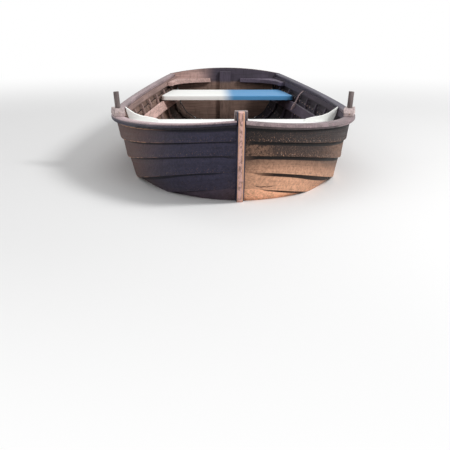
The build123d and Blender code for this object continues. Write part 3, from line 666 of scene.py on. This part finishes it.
def rail_finish(name, side, crown, aft=None, worn=None):
    """Weathered rail with a crown and an aft part whose tones carry painted light and shade, pale flecks and
    a dark low edge of painted shadow.
    """
    made = Finish(name, grained=True)
    tree = made.tree
    facing = add(tree, "ShaderNodeTexCoord").outputs["Normal"]
    upward = add(tree, "ShaderNodeSeparateXYZ", ((0, facing),)).outputs[2]
    # Crown against faces: to starboard a painted highlight on the crown over painted shade on the faces
    plain = mix(tree, fade(tree, upward, 0.10, 0.46), side, crown)
    # Painted light and shade on the aft part
    if aft is not None:
        plain = mix(tree, fade(tree, made.along, 1.5, 2.1), plain, aft)
    color = made.wood(plain, 0.55, 1.4, (3.0, 120.0, 120.0), (3.5, 22.0, 22.0))
    flecks = noise(tree, made.place, (110.0, 110.0, 110.0), 3.0, 0.6)
    color = mix(tree, fade(tree, flecks, 0.57, 0.67, 0.0, 0.6), color, made.tone(plain, 1.7))
    marks = noise(tree, made.place, (40.0, 40.0, 60.0), 4.0, 0.65)
    color = mix(tree, fade(tree, marks, 0.54, 0.68, 0.0, 0.6), color, made.tone(plain, 0.35))
    if worn is not None:
        # Painted shadow on the low edge
        color = mix(tree, fade(tree, made.low, 0.008, 0.004, 0.0, 0.9), color, made.tone(plain, 0.16))
        rubbed = product(
            tree, fade(tree, made.low, 0.0035, 0.0015), fade(tree, marks, 0.60, 0.50),
            fade(tree, made.along, 0.30, 0.80),
        )
        color = mix(tree, rubbed, color, worn)
    return made.close(color, 0.58, 0.3, 0.0012, 0.25)


def stem_finish(name, tar, brown, bare):
    """Dark stem whose nose is worn to brown, and to bare timber on both its edges."""
    made = Finish(name)
    tree = made.tree
    color = made.wood(tar, 0.6, 1.5, (120.0, 120.0, 6.0), (18.0, 18.0, 3.0))
    out = calc(tree, "ABSOLUTE", made.along)
    nose = fade(tree, out, 0.0172, 0.0152)
    blots = noise(tree, made.place, (60.0, 60.0, 26.0), 4.0, 0.65)
    rubbed = mix(tree, fade(tree, blots, 0.34, 0.56), shaded(brown, 0.36), brown)
    color = mix(tree, nose, color, rubbed)
    ragged = noise(tree, made.place, (30.0, 30.0, 20.0), 4.0, 0.65)
    for start, end, reach in ((0.0060, 0.0105, 0.40), (-0.0095, -0.0125, 0.46)):
        worn = fade(tree, ragged, reach - 0.08, reach + 0.08)
        edge = product(tree, fade(tree, made.along, start, end), nose, worn)
        color = mix(tree, edge, color, bare)
    return made.close(color, 0.62, 0.4, 0.002, 0.25)


def paint_finish(name, white, under, shade_start=None):
    """Brushed white paint, dirty in its pores, with painted shade in pale blue past a given place."""
    made = Finish(name)
    tree = made.tree
    made.fibre = noise(tree, made.place, (5.0, 140.0, 60.0), 4.0, 0.6)
    clouds = noise(tree, made.place, (4.0, 9.0, 9.0), 3.0, 0.5)
    color = mix(tree, fade(tree, clouds, 0.45, 0.75, 0.0, 0.2), white, shaded(white, 0.86))
    # Painted shade in pale blue past the given place
    if shade_start is not None:
        thin = fade(tree, made.along, shade_start, shade_start + 0.12, 0.0, 0.96)
        color = mix(tree, thin, color, under)
    dirt = noise(tree, made.place, (60.0, 60.0, 60.0), 5.0, 0.7)
    color = mix(tree, fade(tree, dirt, 0.68, 0.75, 0.0, 0.4), color, shaded(under, 0.5))
    return made.close(color, 0.58, 0.12, 0.0006, 0.25)


def metal_finish(name, base):
    """Dull copper gone brown, or tar where its colour is given."""
    made = Finish(name)
    made.fibre = noise(made.tree, made.place, (300.0, 300.0, 300.0), 2.0, 0.5)
    color = mix(made.tree, fade(made.tree, made.fibre, 0.4, 0.6), shaded(base, 0.6), base)
    made.shader.inputs["Metallic"].default_value = 0.3
    return made.close(color, 0.5, 0.2, 0.0004)


def rope_finish(name, base):
    """Dry, hairy rope."""
    made = Finish(name)
    made.fibre = noise(made.tree, made.place, (500.0, 500.0, 160.0), 4.0, 0.6)
    color = mix(made.tree, fade(made.tree, made.fibre, 0.35, 0.65), shaded(base, 0.6), shaded(base, 1.15))
    return made.close(color, 0.85, 0.5, 0.0006)


# Pieces


class BOAT_OT_planking(bpy.types.Operator):
    """Dress the fourteen strakes, tarred outside and bare inside"""

    bl_idname = "boat.planking"
    bl_label = "Planking"

    def execute(self, context):
        colors = context.scene.boat_finish
        # Painted shade on the port planks inside
        for side, inside in (("port", shaded(colors.shade, 0.65)), ("starboard", colors.inner)):
            inner = timber_finish(
                f"Inner planks {side}", inside, PLANK_GRAIN, grained=True, shade_from=THWART_SHADE_START
            )
            port = side == "port"
            for row, port_shares, starboard_shares, port_specks in BLEACH_AND_SUNLIGHT:
                name = f"strake_{row}_{side}"
                piece = merged_copy(name)
                add_grain(piece, cross_cuts(name))
                shares = port_shares if port else starboard_shares
                specks = port_specks if port else STARBOARD_SPECKS
                outer = plank_finish(f"Tarred plank {side} {row}", colors, port, shares, row, specks)
                finish(piece, outer, inner)
                inward_faces(piece.data)
                eased(piece, PLANK_EASE)
        return {"FINISHED"}


class BOAT_OT_rails(bpy.types.Operator):
    """Dress the capping rails, rubbing rails and inwales"""

    bl_idname = "boat.rails"
    bl_label = "Rails"

    def execute(self, context):
        colors = context.scene.boat_finish
        # Painted shade on the port aft rail and inwale and on the starboard faces; painted highlight on the
        # starboard crown; painted sunlight on the starboard aft rail and inwale
        for side, face, crown, aft, inside in (
            ("port", colors.rail, shaded(colors.rail, 0.9), colors.rail_in_shade, shaded(colors.shade, 1.1)),
            (
                "starboard", shaded(colors.rail_in_shade, 0.85), shaded(colors.rail, 2.3),
                shaded(colors.rail, 1.3), shaded(colors.sunlit_inside, 0.6),
            ),
        ):
            cap = rail_finish(f"Weathered cap {side}", face, crown, aft=aft)
            rub = rail_finish(f"Weathered rub rail {side}", face, face, worn=shaded(colors.bleached, 0.6))
            inwale = timber_finish(f"Inwale timber {side}", inside, RAIL_GRAIN, grained=True)
            for rail, material, slot in (
                ("cap_rail", cap, "weathered_rail"),
                ("rub_rail", rub, "weathered_rail"),
                ("inwale_rail", inwale, "inner_timber"),
            ):
                name = f"{rail}_{side}"
                piece = merged_copy(name)
                add_grain(piece, cross_cuts(name))
                finish(piece, material)
                eased(piece, RAIL_EASE, 3)
        return {"FINISHED"}


class BOAT_OT_backbone(bpy.types.Operator):
    """Dress the keel, hog, stem, apron, transom and stern post"""

    bl_idname = "boat.backbone"
    bl_label = "Backbone"

    def execute(self, context):
        colors = context.scene.boat_finish
        # The stem's dark tar carries the painted cool shade
        stem = stem_finish(
            "Worn stem", shaded(colors.tar_in_shade, 0.9), colors.nose, shaded(colors.bleached, 0.85)
        )
        post = timber_finish("Stem head timber", colors.post, STEM_HEAD_GRAIN)
        keel = timber_finish("Keel timber", shaded(colors.tar, 2.0), KEEL_GRAIN)
        # Painted sunlight on the transom's upper starboard part; painted shade to port and on the stern post
        transom = timber_finish(
            "Transom timber", colors.inner, TRANSOM_GRAIN,
            port_shade=colors.shade, upper_lighting=shaded(colors.sunlit_inside, 0.86),
        )
        outside = timber_finish("Tarred transom", shaded(colors.umber, 0.9), OUTSIDE_GRAIN)
        sternpost = timber_finish(
            "Stern post timber", shaded(colors.inner, 0.8), STERN_POST_GRAIN,
            port_shade=shaded(colors.shade, 1.3), upper_lighting=shaded(colors.shade, 2.0),
        )
        for name, materials, slot in (
            ("stem", (stem,), "tarred_planking"),
            ("apron", (post,), "weathered_rail"),
            ("keel", (keel,), "tarred_planking"),
            ("hog", (keel,), "inner_timber"),
            ("transom", (outside, transom), "tarred_planking"),
            ("stern_post", (sternpost,), "inner_timber"),
        ):
            piece = merged_copy(name)
            finish(piece, *materials)
            if name == "transom":
                for face in piece.data.polygons:
                    face.material_index = 1 if face.normal.y < 0 else 0
            eased(piece, TIMBER_EASE, 3)
        return {"FINISHED"}


class BOAT_OT_inside(bpy.types.Operator):
    """Dress the ribs, risers, knees of the stern, breasthook and bottom boards"""

    bl_idname = "boat.inside"
    bl_label = "Inside timbers"

    def execute(self, context):
        colors = context.scene.boat_finish
        # Starboard pieces carry painted sunlight and port pieces painted shade
        ribs = timber_finish(
            "Rib timber", shaded(colors.sunlit_inside, 0.62), RIB_GRAIN, port_shade=shaded(colors.shade, 1.2)
        )
        # Painted shade under the aft thwart on the last rib
        shaded_last_rib = timber_finish(
            "Last rib timber", shaded(colors.inner, 0.33), RIB_GRAIN, port_shade=shaded(colors.shade, 0.8)
        )
        boards = timber_finish("Board timber", shaded(colors.inner, 1.1), BOARD_GRAIN)
        long_timber = timber_finish(
            "Long timber", shaded(colors.sunlit_inside, 1.45), BOARD_GRAIN, port_shade=shaded(colors.shade, 1.8)
        )
        knee = timber_finish(
            "Stern knee timber", shaded(colors.sunlit_inside, 1.05), BOARD_GRAIN, port_shade=shaded(colors.shade, 1.9)
        )
        pieces = [(f"rib_{i}", ribs) for i in range(1, RIBS)]
        pieces.append((f"rib_{RIBS}", shaded_last_rib))
        for part, material in (("riser", long_timber), ("quarter_knee", knee)):
            pieces += [(f"{part}_{side}", material) for side in SIDES]
        pieces += [(f"bottom_board_{place}", boards) for place in ("middle", *SIDES)]
        pieces.append(("breasthook", boards))
        for name, material in pieces:
            piece = merged_copy(name)
            finish(piece, material)
            eased(piece, RAIL_EASE)
        return {"FINISHED"}


class BOAT_OT_seats(bpy.types.Operator):
    """Paint the thwarts and their knees"""

    bl_idname = "boat.seats"
    bl_label = "Seats"

    def execute(self, context):
        colors = context.scene.boat_finish
        white = paint_finish("White paint", colors.paint, colors.shade_and_dirt_blue)
        # Painted shade: the aft thwart turns pale blue to port
        thin = paint_finish("Thin white paint", colors.paint, colors.shade_and_dirt_blue, shade_start=-0.06)
        for name, material in (
            ("thwart_fore", white),
            ("thwart_aft", thin),
            ("thwart_knee_port", white),
            ("thwart_knee_starboard", white),
        ):
            piece = merged_copy(name)
            finish(piece, material)
            eased(piece, TIMBER_EASE, 3)
        return {"FINISHED"}


class BOAT_OT_rowing_gear(bpy.types.Operator):
    """Dress the thole blocks and pins"""

    bl_idname = "boat.rowing_gear"
    bl_label = "Rowing gear"

    def execute(self, context):
        colors = context.scene.boat_finish
        block = timber_finish("Block timber", colors.block, BLOCK_GRAIN)
        pin = timber_finish("Pin timber", shaded(colors.block, 0.34), PIN_GRAIN)
        for part, material in (("thole_block", block), ("thole_pin", pin)):
            for side in SIDES:
                piece = merged_copy(f"{part}_{side}")
                finish(piece, material)
                eased(piece, TIMBER_EASE, 3)
        return {"FINISHED"}


# Fastenings, caulking and rope


def dome(bm, place, normal, radius, height):
    """Low round head standing on a surface."""
    turn = normal.to_track_quat("Z", "Y").to_matrix().to_4x4()
    squash = Matrix.Diagonal((1, 1, height / radius, 1))
    bmesh.ops.create_uvsphere(
        bm, u_segments=8, v_segments=4, radius=radius, matrix=Matrix.Translation(place) @ turn @ squash
    )


def lap_places(name, spacing, inset):
    """Points and outward normals along a strake's lap."""
    cuts = cross_cuts(name)
    places = []
    for i in range(int(cuts[-1].along / spacing)):
        before, after, share = between(cuts, spacing * (i + 0.5), lambda cut: cut.along)
        low = before.low.lerp(after.low, share)
        up = before.up.lerp(after.up, share).normalized()
        run = (after.low - before.low).normalized()
        normal = run.cross(up).normalized()
        if normal.x * low.x < 0:
            normal = -normal
        places.append((low + up * inset, normal))
    return places


def block_studs(radius):
    """Two nail heads on the front of each thole block."""
    studs = bmesh.new()
    for side in SIDES:
        name = f"thole_block_{side}"
        near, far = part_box(name)
        tree = ray_tree([name])
        for share, height in STUD_PLACES:
            start = Vector((near[0] + (far[0] - near[0]) * share, near[1] - 1, near[2] + height))
            place, normal, _, _ = tree.ray_cast(start, Vector((0, 1, 0)))
            dome(studs, place, normal, radius * STUD_RADIUS, radius * STUD_HEIGHT)
    return studs


def place_fastenings(bm, name, metal):
    """Finished fastenings as one smooth piece that rides on the boat."""
    mesh = mesh_from(bm, name)
    mesh.shade_smooth()
    mesh.materials.append(metal)
    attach(new_object(name, mesh), BODY)


class BOAT_OT_fastenings(bpy.types.Operator):
    """Set the lap nails outside, their roves inside and the nails of the thole blocks"""

    bl_idname = "boat.fastenings"
    bl_label = "Fastenings"

    def execute(self, context):
        settings = context.scene.boat_fastenings
        colors = context.scene.boat_finish
        copper = metal_finish("Dull copper", colors.copper)
        worn = metal_finish("Worn copper", shaded(colors.copper, 0.5))
        dark = metal_finish("Tarred copper", shaded(colors.copper, 0.22))
        for side in SIDES:
            nails = bmesh.new()
            roves = bmesh.new()
            for k in range(2, STRAKES + 1):
                for place, normal in lap_places(f"strake_{k}_{side}", settings.spacing, settings.inset):
                    dome(nails, place, normal, settings.head, settings.head * HEAD_HEIGHT)
                    under = place - normal * 2 * PLANK
                    dome(roves, under, -normal, settings.rove, settings.rove * ROVE_HEIGHT)
            place_fastenings(nails, f"Lap_nails_{side}", worn if side == "port" else dark)
            place_fastenings(roves, f"Roves_{side}", copper)
        place_fastenings(block_studs(settings.head), "Block_studs", copper)
        return {"FINISHED"}


def spline_object(name, points, thickness=0.0, resolution=12):
    """Smooth curve that starts and ends at the first and last of its control points."""
    curve = bpy.data.curves.new(name, "CURVE")
    curve.dimensions = "3D"
    curve.resolution_u = resolution
    curve.bevel_depth = thickness
    curve.bevel_resolution = 3
    curve.use_fill_caps = True
    spline = curve.splines.new("NURBS")
    spline.points.add(len(points) - 1)
    for point, place in zip(spline.points, points):
        point.co = (*place, 1)
    spline.order_u = 3
    spline.use_endpoint_u = True
    return new_object(name, curve)


def taken_mesh(holder):
    """Mesh of a curve, whose own object is removed."""
    mesh = bpy.data.meshes.new_from_object(holder.evaluated_get(bpy.context.evaluated_depsgraph_get()))
    bpy.data.objects.remove(holder)
    return mesh


def twisted(points, count, reach, lay, start):
    """Points wound round a line at a distance, one turn for each length of lay."""
    wound = []
    run = 0.0
    for i, point in enumerate(points):
        ahead = (points[min(i + 1, len(points) - 1)] - points[max(i - 1, 0)]).normalized()
        side = Vector((0, 1, 0))
        other = ahead.cross(side).normalized()
        run += (point - points[max(i - 1, 0)]).length
        turn = tau * (run / lay + start / count)
        wound.append(point + (side * cos(turn) + other * sin(turn)) * reach)
    return wound


def joined(name, curves):
    """One mesh object of several curves."""
    bm = bmesh.new()
    for holder in curves:
        bm.from_mesh(taken_mesh(holder))
    bmesh.ops.remove_doubles(bm, verts=bm.verts, dist=1e-6)
    bmesh.ops.recalc_face_normals(bm, faces=bm.faces[:])
    mesh = mesh_from(bm, name)
    mesh.shade_smooth()
    return new_object(name, mesh)


def transom_corner(side, lift, count=90):
    """Points down the corner between the transom's inner face and the planks of one side."""
    tree = ray_tree([f"strake_{k}_{side}" for k in range(1, STRAKES + 1)])
    forward = [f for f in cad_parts["transom"].data.polygons if f.normal.y < -0.5]
    inner = max(forward, key=lambda f: f.area)
    normal = inner.normal.copy()
    middle = Vector((0, inner.center.y, CORNER_HEIGHT))
    middle.y -= (middle - inner.center).dot(normal) / normal.y
    across = Vector((1 if side == "port" else -1, 0, 0))
    down = Vector((0, -normal.z, normal.y)).normalized()
    points = []
    for i in range(count):
        turn = CORNER_START + CORNER_SPAN * i / (count - 1)
        way = across * cos(turn) + down * sin(turn)
        hit = tree.ray_cast(middle + normal * lift, way)[0]
        if hit is not None:
            points.append(hit - way * lift)
    return points


class BOAT_OT_caulking(bpy.types.Operator):
    """Lay a bead of tar in the corners between the transom and the planks"""

    bl_idname = "boat.caulking"
    bl_label = "Caulking"

    def execute(self, context):
        bead = context.scene.boat_fastenings.bead
        tar = metal_finish("Tar in the seams", context.scene.boat_finish.tar)
        for side in SIDES:
            curve = spline_object(f"Seam_{side}", transom_corner(side, bead / 2), bead, 3)
            mesh = taken_mesh(curve)
            mesh.shade_smooth()
            holder = new_object(f"Transom_tar_{side}", mesh)
            finish(holder, tar)
            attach(holder, BODY)
        return {"FINISHED"}


def rope_strands(settings, path):
    """Strands twisted round the rope's line."""
    strand = settings.diameter * STRAND_SHARE
    reach = settings.diameter / 2 - strand
    return [
        spline_object(f"Strand_{i}", twisted(path, settings.strands, reach, settings.lay, i), strand)
        for i in range(settings.strands)
    ]


def frayed_yarns(settings, path):
    """Yarns that spread from the end of the rope's line and draw in again."""
    ahead = (path[-1] - path[-2]).normalized()
    side = Vector((0, 1, 0))
    other = ahead.cross(side).normalized()
    yarns = []
    for i in range(settings.yarns):
        turn = tau * i / settings.yarns * YARN_TURNS
        out = side * cos(turn) + other * sin(turn)
        reach = settings.end_reach * (YARN_REACH + (1 - YARN_REACH) * (i % 3) / 2)
        tip = (1.0 - 0.1 * (i % 2), 0.45)
        places = [
            path[-1] + ahead * (settings.end_length * run) + out * (reach * spread)
            for run, spread in (*YARN_SPREAD, tip)
        ]
        yarns.append(spline_object(f"Yarn_{i}", places, settings.yarn))
    return yarns


def whipping(settings, path):
    """Thin twine wound round the rope where its end starts to fray."""
    ahead = (path[-1] - path[-2]).normalized()
    line = [path[-1] + ahead * (WHIPPING_STEP * i - WHIPPING_BACK) for i in range(WHIPPING_POINTS)]
    return spline_object("Whipping", twisted(line, 1, settings.diameter / 2, WHIPPING_LAY, 0), TWINE)


def place_rope(name, curves, material, node):
    """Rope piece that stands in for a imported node."""
    piece = joined(name, curves)
    finish(piece, material)
    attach(piece, BODY)
    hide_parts(node)
    return piece


class BOAT_OT_rope(bpy.types.Operator):
    """Lay the strands of the rope's tail and its frayed end"""

    bl_idname = "boat.rope"
    bl_label = "Rope"

    def execute(self, context):
        settings = context.scene.boat_rope
        material = rope_finish("Weathered rope", context.scene.boat_finish.rope)
        centre = taken_mesh(spline_object("Rope_centre", ROPE_ROUTE))
        path = [vert.co.copy() for vert in centre.vertices]
        tail = place_rope("Rope_strands", rope_strands(settings, path), material, "rope_tail")
        yarns = frayed_yarns(settings, path)
        yarns.append(whipping(settings, path))
        end = place_rope("Rope_frayed_end", yarns, material, "rope_end")
        return {"FINISHED"}


# Stage


def waterline(count):
    """Ring of points in the middle of the planking's thickness at the water's level."""
    names = [f"strake_{k}_{side}" for k in range(1, STRAKES + 1) for side in SIDES]
    tree = ray_tree([*names, "stem", "apron", "transom"])
    ring = []
    for i in range(count):
        turn = tau * i / count
        way = Vector((cos(turn) * RAY_NARROWING, sin(turn), 0)).normalized()
        inside = tree.ray_cast(Vector((0, 0, 0)), way)[0]
        outside = tree.ray_cast(way * HULL_REACH, -way)[0]
        if inside is not None and outside is not None:
            ring.append((inside + outside) / 2)
    return ring


def floor_finish(color):
    """Pale floor that keeps the boat's shadow and fades to white far off."""
    material = bpy.data.materials.new("Pale floor")
    material.use_nodes = True
    tree = material.node_tree
    shader = tree.nodes["Principled BSDF"]
    shader.inputs["Base Color"].default_value = (*color, 1)
    shader.inputs["Roughness"].default_value = 0.9
    place = add(tree, "ShaderNodeTexCoord").outputs["Object"]
    away = add(tree, "ShaderNodeVectorMath", ((0, place),), operation="LENGTH").outputs["Value"]
    seen = add(tree, "ShaderNodeLightPath").outputs["Is Camera Ray"]
    share = product(tree, fade(tree, away, *FLOOR_FADE), seen)
    white = add(tree, "ShaderNodeEmission", (("Color", (1, 1, 1, 1)), ("Strength", 1.0)))
    both = add(tree, "ShaderNodeMixShader", ((0, share), (1, shader.outputs[0]), (2, white.outputs[0])))
    tree.links.new(both.outputs[0], tree.nodes["Material Output"].inputs["Surface"])
    return material


def pale_world(level):
    """White world for camera and reflections, softer for the light that it gives."""
    world = bpy.data.worlds.new("World")
    world.use_nodes = True
    tree = world.node_tree
    path = add(tree, "ShaderNodeLightPath")
    seen = calc(tree, "ADD", path.outputs["Is Camera Ray"], path.outputs["Is Glossy Ray"], clamp=True)
    seen = calc(tree, "ADD", seen, path.outputs["Is Transmission Ray"], clamp=True)
    strength = fade(tree, seen, 0.0, 1.0, level, 1.0)
    back = tree.nodes["Background"]
    back.inputs["Color"].default_value = (1, 1, 1, 1)
    tree.links.new(strength, back.inputs["Strength"])
    return world


def make_floor(settings):
    """Floor at the water's level with an opening that follows the hull."""
    bm = bmesh.new()
    inner = [bm.verts.new(point) for point in waterline(settings.hole_points)]
    outer = [bm.verts.new(vert.co.normalized() * settings.floor_radius) for vert in inner]
    for ring in (inner, outer):
        for here, there in zip(ring, ring[1:] + ring[:1]):
            bm.edges.new((here, there))
    bmesh.ops.bridge_loops(bm, edges=bm.edges[:])
    bmesh.ops.recalc_face_normals(bm, faces=bm.faces[:])
    floor = new_object("Floor", mesh_from(bm, "Floor"))
    floor.data.materials.append(floor_finish(settings.floor_color))


def make_camera(scene, lens):
    """Camera at its place, turned by its yaw, pitch and roll."""
    camera = bpy.data.cameras.new("Camera")
    camera.lens = lens
    camera.clip_end = CAMERA_REACH
    eye = bpy.data.objects.new("Camera", camera)
    scene.collection.objects.link(eye)
    level = Vector((-sin(CAMERA_YAW), cos(CAMERA_YAW), 0))
    ahead = level * cos(CAMERA_PITCH) + Vector((0, 0, sin(CAMERA_PITCH)))
    right = Vector((cos(CAMERA_YAW), sin(CAMERA_YAW), 0))
    up = right.cross(ahead)
    side = right * cos(CAMERA_ROLL) + up * sin(CAMERA_ROLL)
    top = up * cos(CAMERA_ROLL) - right * sin(CAMERA_ROLL)
    turn = Matrix((side, top, -ahead)).transposed().to_4x4()
    eye.matrix_world = Matrix.Translation(CAMERA_AT) @ turn
    scene.camera = eye


def make_lamp(scene, name, place, power, size):
    """Square soft lamp that faces the boat."""
    lamp = bpy.data.lights.new(name, "AREA")
    lamp.energy = power
    lamp.size = size
    lit = bpy.data.objects.new(name, lamp)
    lit.location = place
    lit.rotation_mode = "QUATERNION"
    lit.rotation_quaternion = Vector(place).to_track_quat("Z", "Y")
    scene.collection.objects.link(lit)


class BOAT_OT_stage(bpy.types.Operator):
    """Make the pale floor at the waterline, the camera, the lamps and the world"""

    bl_idname = "boat.stage"
    bl_label = "Stage"

    def execute(self, context):
        scene = context.scene
        make_floor(scene.boat_stage)
        make_camera(scene, scene.boat_stage.lens)
        for lamp in LAMPS:
            make_lamp(scene, *lamp)
        scene.world = pale_world(WORLD_LIGHT)
        scene.view_settings.view_transform = "Standard"
        return {"FINISHED"}


class BOAT_PT_panel(bpy.types.Panel):
    """Settings of the boat's looks and the buttons that build them"""

    bl_label = "Boat"
    bl_idname = "BOAT_PT_panel"
    bl_space_type = "VIEW_3D"
    bl_region_type = "UI"
    bl_category = "Boat"

    def draw(self, context):
        for name, group in SETTINGS:
            box = self.layout.box()
            for setting in group.__annotations__:
                box.prop(getattr(context.scene, name), setting)
        for operator in OPERATORS:
            self.layout.operator(operator.bl_idname)


OPERATORS = (
    BOAT_OT_stage,
    BOAT_OT_planking,
    BOAT_OT_rails,
    BOAT_OT_backbone,
    BOAT_OT_inside,
    BOAT_OT_seats,
    BOAT_OT_rowing_gear,
    BOAT_OT_fastenings,
    BOAT_OT_caulking,
    BOAT_OT_rope,
)
SETTINGS = (
    ("boat_finish", FinishSettings),
    ("boat_fastenings", FasteningSettings),
    ("boat_rope", RopeSettings),
    ("boat_stage", StageSettings),
)
CLASSES = (*(group for _, group in SETTINGS), *OPERATORS, BOAT_PT_panel)


def register():
    """Register the classes and hang the settings on the scene."""
    for cls in CLASSES:
        bpy.utils.register_class(cls)
    for name, group in SETTINGS:
        setattr(bpy.types.Scene, name, PointerProperty(type=group))


def unregister():
    """Take the settings and the classes away again."""
    for name, _ in SETTINGS:
        delattr(bpy.types.Scene, name)
    for cls in reversed(CLASSES):
        bpy.utils.unregister_class(cls)


def main():
    """Run every operator in order."""
    register()
    for operator in OPERATORS:
        getattr(bpy.ops.boat, operator.bl_idname.removeprefix("boat."))()


if __name__ == "__main__":
    main()
